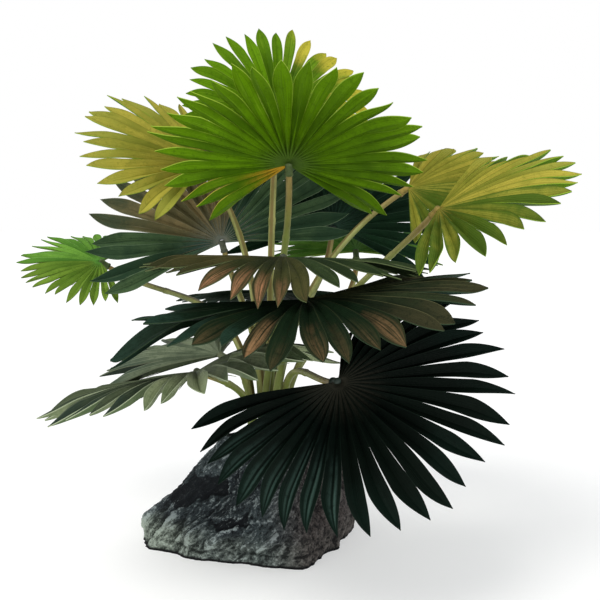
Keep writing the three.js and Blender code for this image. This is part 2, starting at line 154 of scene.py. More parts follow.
# How leaflets lie: slit is how far they stand apart, power how blunt the tips are and blunt by what share the
# first ones are blunter, sweep how far tips bend away from the midrib as a share of the half width, pleat
# deepens the folds and crease is what is left of them at the tips, roll turns upper sides to the front in
# degrees, curl is how far hanging leaflets curl down and arch how far the last ones rise, as shares of the
# radius. hang is for some leaflets, as in the solids: angle from the midrib, spread, more droop, stretch.
PLAIN = dict(slit=0.1, power=1.7, blunt=0.0, sweep=0.0, pleat=1.0, crease=0.4, roll=0, curl=0.0, arch=0.0,
             hang=(0, 1, 0, 0))
LIE = {
    "top_front": dict(slit=0.07, power=2.2, blunt=-0.4, pleat=1.2),
    "top_back": dict(slit=0.08, power=2.0, blunt=1.4, sweep=0.4, crease=0.3),
    "upper_left": dict(slit=0.09, power=2.1, pleat=1.2, crease=0.5),
    "middle_left": dict(slit=0.16, power=1.8, sweep=-0.3, pleat=1.3, crease=0.5),
    "far_left": dict(power=2.1, pleat=1.3, crease=0.5),
    "right_front": dict(power=2.2, sweep=0.45, pleat=1.7, crease=0.7),
    "right_back": dict(power=2.2, sweep=0.3, pleat=1.7, crease=0.7),
    "front_upper": dict(slit=0.12, power=1.8, roll=14, crease=0.5, hang=(-6, 27, 28, 0)),
    "front_middle": dict(slit=0.04, power=2.6, roll=12, crease=0.5, curl=0.05, hang=(-91, 9, 20, 0.24)),
    "lower_left_back": dict(slit=0.14, power=1.5, roll=10, pleat=1.5, crease=0.8),
    "lower_left_front": dict(slit=0.22, power=1.4, roll=26, pleat=1.5, crease=0.8, arch=0.07),
    "lower_right": dict(slit=0.13, power=1.9, sweep=-0.55, pleat=1.2, crease=0.5, hang=(125, 26, 0, -0.5)),
}

# One row per leaf: name, hub, face azimuth and elevation, clock, radius, leaflets, droop of sides and
# middle, then the stem's ring, azimuth, rise and lean
LEAVES = (
    ("top_front", (23, -46, 223), (86, 51), -1, 79, 29, (-6, 4), ("inner", -72, 0.55, 28)),
    ("top_back", (16, 12, 255), (-80, 26), 4, 64, 21, (5, 5), ("inner", 72, 0.4, 30)),
    ("upper_left", (-30, 36, 226), (-50, 48), -52, 80, 17, (6, 6), ("inner", 216, 0.4, 35)),
    ("middle_left", (-20, 50, 179), (-95, 24), -16, 97, 22, (5, 5), ("inner", 144, 0.6, 30)),
    ("far_left", (-103, 86, 165), (-75, 64), -75, 55, 25, (8, 5), ("outer", 152, 0.6, 30)),
    ("right_front", (105, -33, 199), (-145, 59), 66, 79, 18, (5, 5), ("outer", 20, 0.4, 30)),
    ("right_back", (95, 34, 212), (-112, 60), 78, 72, 18, (8, 8), ("inner", 0, 0.4, 30)),
    ("front_upper", (20, -50, 173), (60, 87), -30, 84, 25, (7, 8), ("outer", -105, 0.3, 20)),
    ("front_middle", (32, -80, 153), (175, 83), 75, 95, 25, (-5, 28), ("outer", -68, 0.4, 20)),
    ("lower_left_back", (-18, 2, 114), (-122, 80), -85, 78, 13, (9, 7), ("outer", 186, 0.4, 20)),
    ("lower_left_front", (-26, -60, 113), (150, 77), 92, 90, 23, (5, 10), ("outer", -140, 0.4, 20)),
    ("lower_right", (48, -95, 113), (-102, 42), 128, 88, 27, (4, 4), ("outer", -25, 0.6, 45)),
    ("back_right", (50, 66, 188), (-85, 30), 8, 82, 24, (10, 10), ("outer", 84, 0.5, 30)),
    ("rear_right", (66, 88, 172), (-90, 66), 0, 66, 21, (10, 10), ("outer", 50, 0.35, 30)),
    ("rear", (10, 98, 145), (90, 82), 180, 78, 19, (10, 14), ("outer", 112, 0.52, 22)),
)

# Finishes of the leaf sides as red, green and blue from 0 to 255: the main colour, the shade that mottles
# it, the tips, the hub and the fine lines
COATS = {
    # vivid is the green made brighter and more saturated than the fabric: partly painted light shining
    # through the leaf
    "vivid": ((88, 128, 5), (55, 86, 3), (96, 136, 13), (66, 84, 40), (150, 176, 60)),
    # vivid_deep is a darker copy of vivid: partly painted shade, as on the right of the top front leaf's
    # under side
    "vivid_deep": ((82, 119, 6), (52, 81, 4), (93, 132, 13), (58, 72, 40), (140, 168, 56)),
    # amber's orange hub colour is partly painted sunlight at the bases of the leaflets
    "amber": ((92, 128, 10), (60, 96, 6), (80, 126, 10), (206, 146, 44), (190, 180, 70)),
    # the coat with yellow tips: the yellow is painted sunlight, and the green below it painted shadow from
    # the leaf in front
    "gold_tip": ((96, 130, 22), (54, 86, 10), (180, 170, 58), (80, 92, 40), (190, 184, 90)),
    # golden and golden_green are partly painted sunlight: their yellow stands for direct warm light on the
    # upper sides
    "golden": ((164, 154, 60), (112, 116, 36), (160, 160, 70), (120, 108, 44), (74, 70, 20)),
    "golden_green": ((146, 144, 54), (72, 94, 26), (66, 90, 30), (150, 136, 60), (70, 84, 28)),
    "green": ((108, 154, 58), (68, 112, 36), (96, 142, 50), (84, 136, 56), (160, 210, 120)),
    "olive": ((116, 146, 52), (80, 112, 34), (108, 132, 44), (100, 124, 50), (70, 90, 30)),
    "bronze": ((146, 128, 88), (88, 84, 56), (46, 62, 46), (104, 116, 112), (186, 178, 146)),
    "teal": ((68, 90, 58), (36, 56, 38), (34, 56, 40), (84, 108, 104), (116, 136, 104)),
    # deep_teal is darkened past the fabric's colour: partly painted shade from the leaves above
    "deep_teal": ((22, 47, 28), (10, 28, 16), (19, 42, 27), (52, 74, 62), (54, 80, 60)),
    "moss": ((66, 66, 36), (38, 44, 24), (44, 50, 30), (66, 66, 44), (110, 106, 70)),
    "moss_brown": ((77, 71, 42), (43, 45, 25), (44, 50, 30), (66, 66, 42), (116, 106, 72)),
    "moss_green": ((48, 62, 36), (28, 40, 22), (36, 48, 28), (60, 66, 44), (92, 104, 68)),
    # night and night_teal are nearly black: partly painted shade from the leaves above; night_teal also has a
    # painted sheen
    "night": ((7, 15, 10), (3, 8, 5), (13, 28, 22), (58, 56, 47), (24, 36, 28)),
    "night_teal": ((8, 19, 13), (3, 9, 6), (12, 29, 22), (58, 56, 47), (30, 46, 38)),
    "night_tan": ((18, 34, 18), (9, 20, 10), (32, 44, 26), (20, 30, 20), (58, 62, 38)),
    "night_green": ((14, 30, 16), (7, 16, 8), (42, 66, 54), (20, 30, 20), (44, 58, 40)),
    "night_olive": ((38, 46, 27), (15, 23, 13), (66, 62, 40), (20, 30, 20), (96, 94, 62)),
    "grey": ((126, 136, 110), (72, 84, 66), (70, 86, 76), (104, 116, 92), (160, 168, 144)),
    # grey_pale is grey made paler: partly painted light that makes up for shade on the low front leaf's right
    # half
    "grey_pale": ((142, 152, 116), (84, 98, 68), (80, 104, 66), (110, 122, 92), (158, 168, 138)),
    "grey_green": ((78, 88, 64), (42, 52, 38), (44, 60, 54), (84, 94, 72), (116, 124, 100)),
}

# What some coats have besides: patch is a withered spot on some leaflets, sheen a painted reflection: a pale
# band beside the fold, edge and tip_reach how strong the rims' shade and the tips' colour are, hub_reach how
# far the hub's goes
COAT_EXTRAS = {
    "amber": dict(hub_reach=0.55),
    "gold_tip": dict(tip_reach=0.95),
    "golden_green": dict(edge=0.9),
    "bronze": dict(tip_reach=0.85, edge=0.6),
    "teal": dict(hub_reach=0.4),
    "deep_teal": dict(hub_reach=0.4),
    "moss": dict(patch=(160, 116, 84)),
    "night": dict(hub_reach=0.34),
    "night_teal": dict(hub_reach=0.34, painted_sheen=(60, 82, 75)),
    "night_tan": dict(patch=(138, 106, 74)),
    "night_green": dict(tip_reach=0.7),
    "night_olive": dict(edge=0.6),
}

# Sockets under the leaves of each slot, in a paler and a darker colour
SOCKETS = {
    "leaf_vivid": ((84, 98, 58), (58, 74, 40)),
    "leaf_golden": ((150, 128, 66), (112, 100, 48)),
    "leaf_bronze": ((92, 96, 80), (66, 70, 58)),
    "leaf_grey": ((98, 104, 78), (72, 80, 58)),
    "leaf_dark": ((54, 64, 58), (34, 44, 38)),
}

# For each leaf, the record's slot, then the upper and the under side: coats, from the first leaflet to the
# last, with the share of the fan up to which each is dealt
DRESS = {
    "top_front": ("leaf_vivid", ((1, "golden_green"),), ((0.14, "amber"), (0.6, "vivid"), (1, "vivid_deep"))),
    "top_back": ("leaf_vivid", ((0.45, "gold_tip"), (1, "vivid")), ((1, "vivid_deep"),)),
    "upper_left": ("leaf_golden", ((1, "golden"),), ((1, "vivid_deep"),)),
    "middle_left": ("leaf_bronze", ((0.35, "teal"), (0.8, "bronze"), (1, "teal")), ((1, "teal"),)),
    "far_left": ("leaf_vivid", ((0.55, "green"), (1, "olive")), ((1, "olive"),)),
    "right_front": ("leaf_golden", ((0.5, "golden_green"), (1, "golden")), ((1, "vivid_deep"),)),
    "right_back": ("leaf_golden", ((0.5, "golden_green"), (1, "golden")), ((1, "vivid_deep"),)),
    "front_upper": ("leaf_bronze", ((0.38, "moss_brown"), (0.6, "moss"), (1, "moss_green")),
                    ((1, "moss_green"),)),
    "front_middle": ("leaf_dark", ((0.34, "night_green"), (0.62, "night_tan"), (1, "night_olive")),
                     ((1, "night_green"),)),
    "lower_left_back": ("leaf_grey", ((1, "grey"),), ((1, "grey_green"),)),
    "lower_left_front": ("leaf_grey", ((0.55, "grey_green"), (1, "grey_pale")), ((1, "grey_pale"),)),
    "lower_right": ("leaf_dark", ((0.1, "night"), (0.32, "night_teal"), (1, "night")), ((1, "night"),)),
    "back_right": ("leaf_dark", ((1, "deep_teal"),), ((1, "deep_teal"),)),
    "rear_right": ("leaf_vivid", ((1, "green"),), ((1, "olive"),)),
    "rear": ("leaf_bronze", ((1, "moss_green"),), ((1, "night_green"),)),
}

# Colours of the stems, the rock and the plug
STEM_COLOURS = dict(
    channel=(108, 92, 52), ridge=(150, 152, 92), side=(112, 124, 58), blotch=(92, 96, 44),
    head=(158, 122, 78), streak=(84, 82, 42), green=(84, 100, 46))
ROCK_COLOURS = dict(
    slate=(40, 46, 50), pale_slate=(68, 78, 80), crack=(11, 13, 15), dry=(168, 180, 180),
    lichen=((54, 61, 53), (172, 184, 169)), brown=((26, 22, 22), (86, 76, 72)),
    # hollow is painted shade for the recesses, foot a painted shadow along the rock's bottom
    hollow=(14, 16, 20), foot=(14, 15, 16))
PLUG_COLOURS = ((44, 44, 26), (92, 96, 52))

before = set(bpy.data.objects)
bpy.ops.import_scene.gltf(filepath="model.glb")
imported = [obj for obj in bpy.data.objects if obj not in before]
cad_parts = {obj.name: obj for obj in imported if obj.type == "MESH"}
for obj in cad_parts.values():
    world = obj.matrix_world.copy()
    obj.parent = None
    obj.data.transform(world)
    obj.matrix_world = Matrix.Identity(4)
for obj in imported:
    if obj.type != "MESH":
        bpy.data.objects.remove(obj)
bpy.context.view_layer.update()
scene = bpy.context.scene


def smoothstep(value, low, high):
    share = np.clip((value - low) / (high - low), 0, 1)
    return share * share * (3 - 2 * share)


def unit(vectors):
    """Vectors along the last axis, each made one unit long."""
    vectors = np.asarray(vectors, float)
    return vectors / np.linalg.norm(vectors, axis=-1, keepdims=True)


def circle(sides):
    """Angles evenly round a circle."""
    return 2 * math.pi * np.arange(sides) / sides


def on_axis(height):
    """A point on the axis of the rock's socket."""
    return np.array([CROWN_X, CROWN_Y, height])


def linear(colour):
    """A colour given from 0 to 255 as the scene-linear RGBA that sockets take."""
    parts = [value / 255 for value in colour]
    return [p / 12.92 if p <= 0.04045 else ((p + 0.055) / 1.055) ** 2.4 for p in parts] + [1.0]


# Meshes


class Mesher:
    """Gathers faces with a slot and a tone, and points with named values, into one mesh."""

    def __init__(self, *names):
        self.points, self.faces, self.slots, self.tones = [], [], [], []
        self.values = {name: [] for name in names}
        self.count = 0

    def add_points(self, points, *values):
        points = np.asarray(points, float).reshape(-1, 3)
        first = self.count
        self.points.append(points)
        for kept, value in zip(self.values.values(), values):
            kept.append(np.broadcast_to(np.ravel(value), len(points)))
        self.count += len(points)
        return first

    def add_faces(self, faces, slot=0, tone=0.5):
        faces = np.asarray(faces, int).reshape(-1, 4)
        self.faces.append(faces)
        self.slots.append(np.full(len(faces), slot))
        self.tones.append(np.full(len(faces), tone))

    def add_rings(self, rings, ends, values=(), end_values=((), ()), slot=0, tone=0.5):
        """A skin over rings of points, closed at both ends by a cap about an end point."""
        count, sides, _ = rings.shape
        start = self.add_points(rings, *values)
        own = start + np.arange(count * sides).reshape(count, sides)
        after = np.roll(own, -1, axis=1)
        self.add_faces(np.stack([own[:-1], after[:-1], after[1:], own[1:]], -1), slot, tone)
        for pair, end, value in zip(((after[0], own[0]), (own[-1], after[-1])), ends, end_values):
            middle = np.full(sides, self.add_points(end, *value))
            self.add_faces(np.stack([*pair, middle, middle], -1), slot)

    def build(self, name, materials, creases=None):
        """The piece, with sharp edges where the value named by creases is 0 at both ends, or 1 or -1."""
        mesh = bpy.data.meshes.new(name)
        points = np.concatenate(self.points) * MM
        faces = np.concatenate(self.faces).tolist()  # a triangle's last corner repeats its third
        faces = [corners[:3] if corners[3] == corners[2] else corners for corners in faces]
        mesh.from_pydata(points.tolist(), [], faces)
        layers = [(key, "POINT", kept) for key, kept in self.values.items()] + [("tone", "FACE", self.tones)]
        for key, domain, kept in layers:
            layer = mesh.attributes.new(key, "FLOAT", domain)
            layer.data.foreach_set("value", np.concatenate(kept).astype(np.float32))
        mesh.polygons.foreach_set("material_index", np.concatenate(self.slots).astype(np.int32))
        mesh.polygons.foreach_set("use_smooth", np.ones(len(mesh.polygons), bool))
        if creases:
            ends = np.empty(len(mesh.edges) * 2, np.int32)
            mesh.edges.foreach_get("vertices", ends)
            value = np.concatenate(self.values[creases])[ends].reshape(-1, 2)
            sharp = np.all(value == 0, axis=1) | np.all(np.abs(value) == 1, axis=1)
            mesh.attributes.new("sharp_edge", "BOOLEAN", "EDGE").data.foreach_set("value", sharp)
        for material in materials:
            mesh.materials.append(material)
        mesh.validate()
        mesh.update()
        piece = bpy.data.objects.new(name, mesh)
        scene.collection.objects.link(piece)
        return piece


def ring_directions(line, towards, turns):
    """Directions round each point of a line, at turns from the side that faces towards."""
    tangents = unit(np.gradient(line, axis=0))
    facing = unit(towards - tangents * np.sum(tangents * towards, axis=1)[:, None])
    beside = np.cross(tangents, facing)
    return facing[:, None] * np.cos(turns)[:, None] + beside[:, None] * np.sin(turns)[:, None]


# Leaves


class Leaf:
    """One row of LEAVES with the blade's own directions."""

    def __init__(self, index, row):
        self.index = index
        self.name, hub, face, clock, self.radius, self.leaflets, droop, stem = row
        self.hub = np.array(hub, float)
        azimuth, elevation = map(math.radians, face)
        level = math.cos(elevation)
        self.normal = np.array([math.cos(azimuth) * level, math.sin(azimuth) * level, math.sin(elevation)])
        uphill = unit(np.array([0, 0, 1]) - self.normal[2] * self.normal)
        right = np.cross(uphill, self.normal)
        turn = math.radians(clock)
        self.midrib = uphill * math.cos(turn) + right * math.sin(turn)
        self.across = np.cross(self.normal, self.midrib)
        self.pitch = math.radians(LEAFLET_PITCH)
        self.half_span = self.pitch * self.leaflets / 2
        self.droop = list(map(math.radians, droop))
        self.lie = PLAIN | LIE.get(self.name, {})
        *hang, self.hang_stretch = self.lie["hang"]
        self.hang_angle, self.hang_spread, self.hang_droop = map(math.radians, hang)
        foot_ring, foot_azimuth, self.stem_rise, stem_lean = stem
        out, turn, lean = FOOT_RINGS[foot_ring], math.radians(foot_azimuth), math.radians(stem_lean)
        self.foot = on_axis(ROCK_HEIGHT + JOINT_GAP) + out * np.array([math.cos(turn), math.sin(turn), 0])
        self.into = self.midrib * math.cos(lean) + self.normal * math.sin(lean)

    def chance(self, leaflet, trait):
        """A repeatable number from 0 to 1 for one of the leaflets and a trait, as in the solids."""
        value = math.sin(self.index * 12.9898 + leaflet * 78.233 + trait * 37.719) * 43758.5453
        return value - math.floor(value)

    def angle(self, leaflet):
        return -self.half_span + (leaflet + 0.5) * self.pitch

    def growth(self, leaflet):
        """Length of a leaflet as a share of the longest that it could have."""
        return 1 - LENGTH_SPREAD * self.chance(leaflet, LENGTH)

    def hang(self, angle):
        """How much a leaflet at an angle belongs to those that differ from the rest."""
        return np.exp(-((angle - self.hang_angle) / self.hang_spread) ** 2)

    def rib(self, angle, share):
        """Points and upper normals at shares of the way out along lines of the fan."""
        angle, share = np.broadcast_arrays(np.asarray(angle, float), np.asarray(share, float))
        cosine, sine = np.cos(angle)[..., None], np.sin(angle)[..., None]
        outward = self.midrib * cosine + self.across * sine
        near = self.hang(angle)
        length = self.radius * (1 - SIDE_SHORTENING * (angle / self.half_span) ** 2)
        length = length * (1 + self.hang_stretch * near)
        side, middle = self.droop
        bend = side + (middle - side) * np.maximum(0, np.cos(angle)) ** 2 + near * self.hang_droop
        bend = np.where(np.abs(bend) < 1e-6, 1e-6, bend)
        slope = bend * share
        out, down = length * np.sin(slope) / bend, length * (np.cos(slope) - 1) / bend
        point = self.hub + outward * out[..., None] + self.normal * down[..., None]
        normal = self.normal * np.cos(slope)[..., None] + outward * np.sin(slope)[..., None]
        return point, normal


def leaflet_surface(leaf, index, rows, growth, cut_rows):
    """Upper points and normals of one leaflet as rows by columns, and its shares of the way out."""
    angle = leaf.angle(index)
    lie = leaf.lie
    chance = partial(leaf.chance, index)
    widest = WIDEST_AT * growth
    taper = np.clip((rows - widest) / (growth - widest), 0, TIP_CUT)
    blunter = 1 + lie["blunt"] * smoothstep(-angle / leaf.half_span, *BLUNT_SIDE)
    power = lie["power"] * blunter * (POWER_LEAST + POWER_MORE * chance(POWER))
    half_angles, frees = [], []
    for edge, cut_row in zip((index, index + 1), cut_rows):
        slit = lie["slit"] * (SLIT_LEAST + SLIT_MORE * leaf.chance(edge, SLIT) ** 2)
        opened = smoothstep(rows, rows[cut_row], rows[cut_row] + SLIT_RUN)
        width = np.minimum(rows, widest) * math.tan(leaf.pitch / 2)
        width = width * (1 - slit * opened) * (1 - taper ** power)
        half_angles.append(np.arctan(width / rows))
        frees.append(smoothstep(rows, rows[cut_row], growth) * (np.arange(len(rows)) > cut_row))
    half_angle = np.where(COLUMNS < 0, half_angles[0][:, None], half_angles[1][:, None])
    blend = (COLUMNS + 1) / 2
    free = frees[0][:, None] * (1 - blend) + frees[1][:, None] * blend
    share = rows[:, None] / growth
    half_width = np.tan(half_angle) * rows[:, None] * leaf.radius

    sweep = lie["sweep"] * math.tanh(angle / SWEEP_ANGLE) + SWEEP_SPREAD * (chance(SWEEP) - 0.5)
    aside = SWAY_ANGLE * (2 * chance(SWAY) - 1) * free ** 2
    aside = aside + sweep * leaf.pitch / 2 * taper[:, None] ** SWEEP_BEND
    point, normal = leaf.rib(angle + COLUMNS * half_angle + aside, rows[:, None])
    off_fold = np.abs(COLUMNS)
    valley = 2 * off_fold - 1 + FOLD_ROUNDING * np.sin(math.pi * off_fold)
    flattened = (1 - lie["crease"]) * smoothstep(share, *CREASE_FADE)
    fold = PLEAT * lie["pleat"] * half_width * valley * (1 - flattened)
    flick = TIP_SPREAD * (chance(FLICK) - 0.5) * leaf.radius * share
    sag = SAG_SHARE * chance(SAG) * free ** 2
    sag = sag + lie["curl"] * leaf.hang(angle) * smoothstep(share, CURL_FROM, 1) ** 2
    arched = math.exp(-((angle - ARCH_AT * leaf.half_span) / ARCH_HALF) ** 2)
    arch = lie["arch"] * arched * np.sin(math.pi * share)
    facing = leaf.across[1] * math.cos(angle) - leaf.midrib[1] * math.sin(angle)
    roll = lie["roll"] * facing + ROLL_SPREAD * (chance(ROLL) - 0.5)
    twist = math.tan(math.radians(roll)) * COLUMNS * half_width
    waves = np.sin(2 * math.pi * (WAVE_COUNT * share + chance(WAVE)))
    wave = WAVE_HEIGHT * waves * off_fold ** 3
    rise = fold + (flick + twist + wave) * free + (arch - sag) * leaf.radius
    return point + normal * rise[..., None], normal, share


def add_leaflets(mesher, leaf, upper_slots, under_slots):
    """The leaflets, joined to each other as far out as the cuts between them begin."""
    joined = np.linspace(HUB_SHARE, JOINED_END, JOINED_ROWS)
    cuts = [int(np.abs(joined - CUT_AT - CUT_SPREAD * leaf.chance(edge, CUT)).argmin())
            for edge in range(leaf.leaflets + 1)]
    out = 1 - (1 - np.linspace(0, 1, FREE_ROWS + 1)[1:]) ** ROW_CROWDING
    columns, count = len(COLUMNS), JOINED_ROWS + FREE_ROWS
    across = np.broadcast_to(COLUMNS, (count, columns))
    edges = []
    for index in range(leaf.leaflets):
        growth = leaf.growth(index)
        rows = np.concatenate([joined, JOINED_END + (growth - JOINED_END) * out])
        upper, normal, share = leaflet_surface(leaf, index, rows, growth, cuts[index:index + 2])
        under = upper - normal * BLADE_THICKNESS
        along = np.broadcast_to(share, (count, columns))
        numbers = []
        for points in (upper, under):
            start = mesher.add_points(points, along, across)
            numbers.append(start + np.arange(count * columns).reshape(count, columns))
        for own, before in zip(numbers, edges):  # a joined edge uses the points of the leaflet before
            own[:cuts[index] + 1, 0] = before[:cuts[index] + 1]
        edges = [own[:, -1].copy() for own in numbers]
        tone = leaf.chance(index, TONE)
        for side, slots in ((0, upper_slots), (1, under_slots)):
            grid = numbers[side]
            quads = np.stack([grid[:-1, :-1], grid[:-1, 1:], grid[1:, 1:], grid[1:, :-1]], -1).reshape(-1, 4)
            mesher.add_faces(quads[:, ::-1] if side == 0 else quads, slots[index], tone)
        top, low = numbers
        first_left = 0 if index == 0 else cuts[index]
        first_right = 0 if index == leaf.leaflets - 1 else cuts[index + 1]
        rims = [(top[first_left:, 0], low[first_left:, 0]), (low[first_right:, -1], top[first_right:, -1]),
                (low[0], top[0]), (top[-1], low[-1])]
        for a, b in rims:
            quads = np.stack([a[:-1], b[:-1], b[1:], a[1:]], -1)
            mesher.add_faces(quads, under_slots[index], RIM_TONE)


def add_rod(mesher, centres, radii, sides, slot, along, reference):
    """A closed round rod through the centres, its rings turned to a reference direction."""
    rings = centres[:, None] + ring_directions(centres, reference, circle(sides)) * radii[:, None, None]
    mesher.add_rings(rings, centres[[0, -1]], (np.repeat(along, sides), TUBE_SIDE),
                     [(end, TUBE_SIDE) for end in along[[0, -1]]], slot)


def add_ribs(mesher, leaf, under_slots, upper_slot):
    """The raised midribs: long ones under each leaflet, short ones round the hub above."""
    for index in range(leaf.leaflets):
        growth = leaf.growth(index)
        for above in (False, True):
            reach, count, hub_radius, end_radius = UPPER_RIB if above else UNDER_RIB
            rows = np.linspace(HUB_SHARE, reach * growth, count)
            point, normal = leaf.rib(leaf.angle(index), rows)
            valley = -PLEAT * leaf.lie["pleat"] * rows * leaf.radius * math.tan(leaf.pitch / 2)
            lift = valley if above else valley - BLADE_THICKNESS
            centres = point + normal * lift[:, None]
            radii = np.linspace(hub_radius, end_radius, count)
            slot = upper_slot if above else under_slots[index]
            add_rod(mesher, centres, radii, RIB_SIDES, slot, rows / growth, leaf.normal)


def add_hub(mesher, leaf, slot):
    """The socket under the blade, with a lip at its mouth, and the low boss above it."""
    heights, radii = np.array(HUB_PROFILE).T
    centres = leaf.hub - leaf.into * HUB_SOCKET_LENGTH + leaf.into * heights[:, None]
    add_rod(mesher, centres, radii, HUB_SIDES, slot, np.zeros(len(heights)), leaf.across)


def coat_at(side, share):
    return next(coat for upto, coat in side if share <= upto)


def make_leaf(leaf, materials):
    slot, *sides = DRESS[leaf.name]
    coats = sorted({coat for side in sides for upto, coat in side}) + [f"socket_{slot}"]
    numbers = {coat: number for number, coat in enumerate(coats)}
    shares = np.clip([(index + 0.5) / leaf.leaflets + DEAL_SPREAD * (leaf.chance(index, DEAL) - 0.5)
                      for index in range(leaf.leaflets)], 0, 1)
    upper, under = ([numbers[coat_at(side, share)] for share in shares] for side in sides)
    mesher = Mesher("along", "across")
    add_leaflets(mesher, leaf, upper, under)
    add_ribs(mesher, leaf, under, upper[len(upper) // 2])
    add_hub(mesher, leaf, len(coats) - 1)
    piece = mesher.build(f"leaf_{leaf.name}", [materials[coat] for coat in coats], creases="across")
    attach(piece, "root")
    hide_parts(f"blade_{leaf.name}")


# Stems


def stem_line(leaf):
    """A stem's curve: it rises straight from its foot and arrives in line with the leaf's socket."""
    head = leaf.hub - leaf.into * (HUB_SOCKET_LENGTH + JOINT_GAP)
    reach = np.linalg.norm(head - leaf.foot)
    rising = leaf.foot + np.array([0, 0, reach * leaf.stem_rise])
    arriving = head - leaf.into * reach * STEM_PULL
    t = np.linspace(0, 1, STEM_RINGS)[:, None]
    return ((1 - t) ** 3 * leaf.foot + 3 * t * (1 - t) ** 2 * rising
            + 3 * t * t * (1 - t) * arriving + t ** 3 * head)


def make_stem(leaf, material):
    """A channelled stem in two lengths, the lower one ending in a sleeve round the upper."""
    line = stem_line(leaf)
    sunk = line[0] - np.array([[0, 0, STEM_SUNK], [0, 0, STEM_SUNK / 2]])
    line = np.concatenate([sunk, line, line[-1:] + leaf.into * STEM_PUSH])
    travelled = np.concatenate([[0], np.cumsum(np.linalg.norm(np.diff(line, axis=0), axis=1))])
    share = travelled / travelled[-1]
    sleeve = SLEEVE_AT + SLEEVE_SPREAD * leaf.chance(0, SLEEVE)
    mouth = travelled - sleeve * travelled[-1]
    radius = STEM_FOOT_RADIUS + (STEM_HEAD_RADIUS - STEM_FOOT_RADIUS) * share
    lip = sum(height * smoothstep(mouth, start, end) for start, end, height in SLEEVE_LIPS)
    radius = radius * (1 + lip * (1 - smoothstep(mouth, 0, SLEEVE_END)))

    inward = on_axis(0) - line
    inward[:, 2] = 0
    towards = np.array([0, 0, 1.0]) * share[:, None] + unit(inward) * (CHANNEL_TURN - share[:, None])
    turn = circle(STEM_SIDES)
    from_channel = np.abs(np.arctan2(np.sin(turn), np.cos(turn)))
    channel = CHANNEL_DEPTH * np.exp(-(from_channel / CHANNEL_HALF) ** 2)
    ridges = RIDGE_HEIGHT * np.exp(-((from_channel - RIDGE_AT) / RIDGE_HALF) ** 2)
    section = 1 - channel + ridges
    rings = line[:, None] + ring_directions(line, towards, turn) * (radius[:, None] * section)[..., None]

    mesher = Mesher("along", "around")
    around = np.tile(from_channel / math.pi, len(line))
    mesher.add_rings(rings, line[[0, -1]], (np.repeat(share, STEM_SIDES), around),
                     [(end, 1) for end in share[[0, -1]]], tone=leaf.chance(0, STEM_TONE))
    piece = mesher.build(f"petiole_{leaf.name}", [material])
    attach(piece, "root")
    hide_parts(f"stem_{leaf.name}")


# Rock


def cross(first, second):
    return first[0] * second[1] - first[1] * second[0]


def footprint_radius(azimuth):
    """Distance from the socket's axis to the straight-sided footprint, along one azimuth."""
    ray = np.array([math.cos(azimuth), math.sin(azimuth)])
    corners = [np.array([x - CROWN_X, y - CROWN_Y], float) for x, y in ROCK_CORNERS]
    for start, end in zip(corners, corners[1:] + corners[:1]):
        side = end - start
        across = cross(ray, side)
        if across > 0 and 0 <= cross(start, ray) / across <= 1:
            return cross(start, side) / across
    return 0.0


def rock_radius(azimuth, levels):
    """Radius of the rock at one azimuth for an array of levels."""
    rounded = np.mean([footprint_radius(azimuth + step * ROCK_CORNER_TURN) for step in (-2, -1, 0, 1, 2)])
    undercut = ROCK_UNDERCUT * (1 - smoothstep(levels, 0, ROCK_UNDERCUT_TOP))
    rightness = (1 + math.cos(azimuth)) / 2
    taper = 1 - ROCK_TAPER * levels ** (LEFT_STEEPNESS + (RIGHT_STEEPNESS - LEFT_STEEPNESS) * rightness)
    crag = sum(height * (1 - 2 * np.abs(np.sin(turns * azimuth - slant * levels + start)))
               for height, turns, slant, start in ROCK_CRAGS)
    apart = azimuth - math.radians(HOLLOW_AZIMUTH)
    turned = math.atan2(math.sin(apart), math.cos(apart)) / math.radians(HOLLOW_TURN)
    hollow = np.exp(-turned ** 2 - ((levels - HOLLOW_LEVEL) / HOLLOW_HEIGHT) ** 2)
    facing = max(0, math.cos(azimuth - math.radians(LEDGE_AZIMUTH))) ** 2
    ledge = LEDGE_DEPTH * facing * smoothstep(levels, LEDGE_LOW, LEDGE_HIGH)
    shape = taper - undercut - (HOLLOW_DEPTH * hollow + ledge) * (1 - levels)
    return rounded * shape * (1 + crag * (1 - levels))


def wander(place, parts):
    """A shift that changes from place to place, from parts that each have a scale and a size."""
    return sum((noise.noise_vector(place * scale) * size for scale, size in parts), Vector())


def facets(place, size, sharpness):
    """Height, as a share of size, of broken facets: each cell about a place leans its own way."""
    spot = place / size
    distances, centres = noise.voronoi(spot)
    total, weights = 0.0, 0.0
    for distance, centre in zip(distances, centres):
        weight = math.exp(-sharpness * (distance - distances[0]))
        lean = noise.noise_vector(centre * LEAN_DRAW).dot(spot - centre)
        total += weight * (FACET_LEAN * lean + FACET_STEP * noise.noise(centre * STEP_DRAW))
        weights += weight
    return total / weights


def crags(place, streak):
    """Height in millimetres of the crags at a place on the rock, drawn out along the streaks."""
    spot = place - streak * (STREAK_DRAW * place.dot(streak))
    warped = spot + wander(place, CRAG_WARPS)
    broken = sum(height * size * facets(warped, size, sharpness) for size, sharpness, height in CRAG_FACETS)
    fine = noise.ridged_multi_fractal(spot * FINE_SCALE, *FINE_RIDGES) - FINE_MEAN
    return broken + fine + GRIT_HEIGHT * noise.fractal(place * GRIT_SCALE, *GRIT)


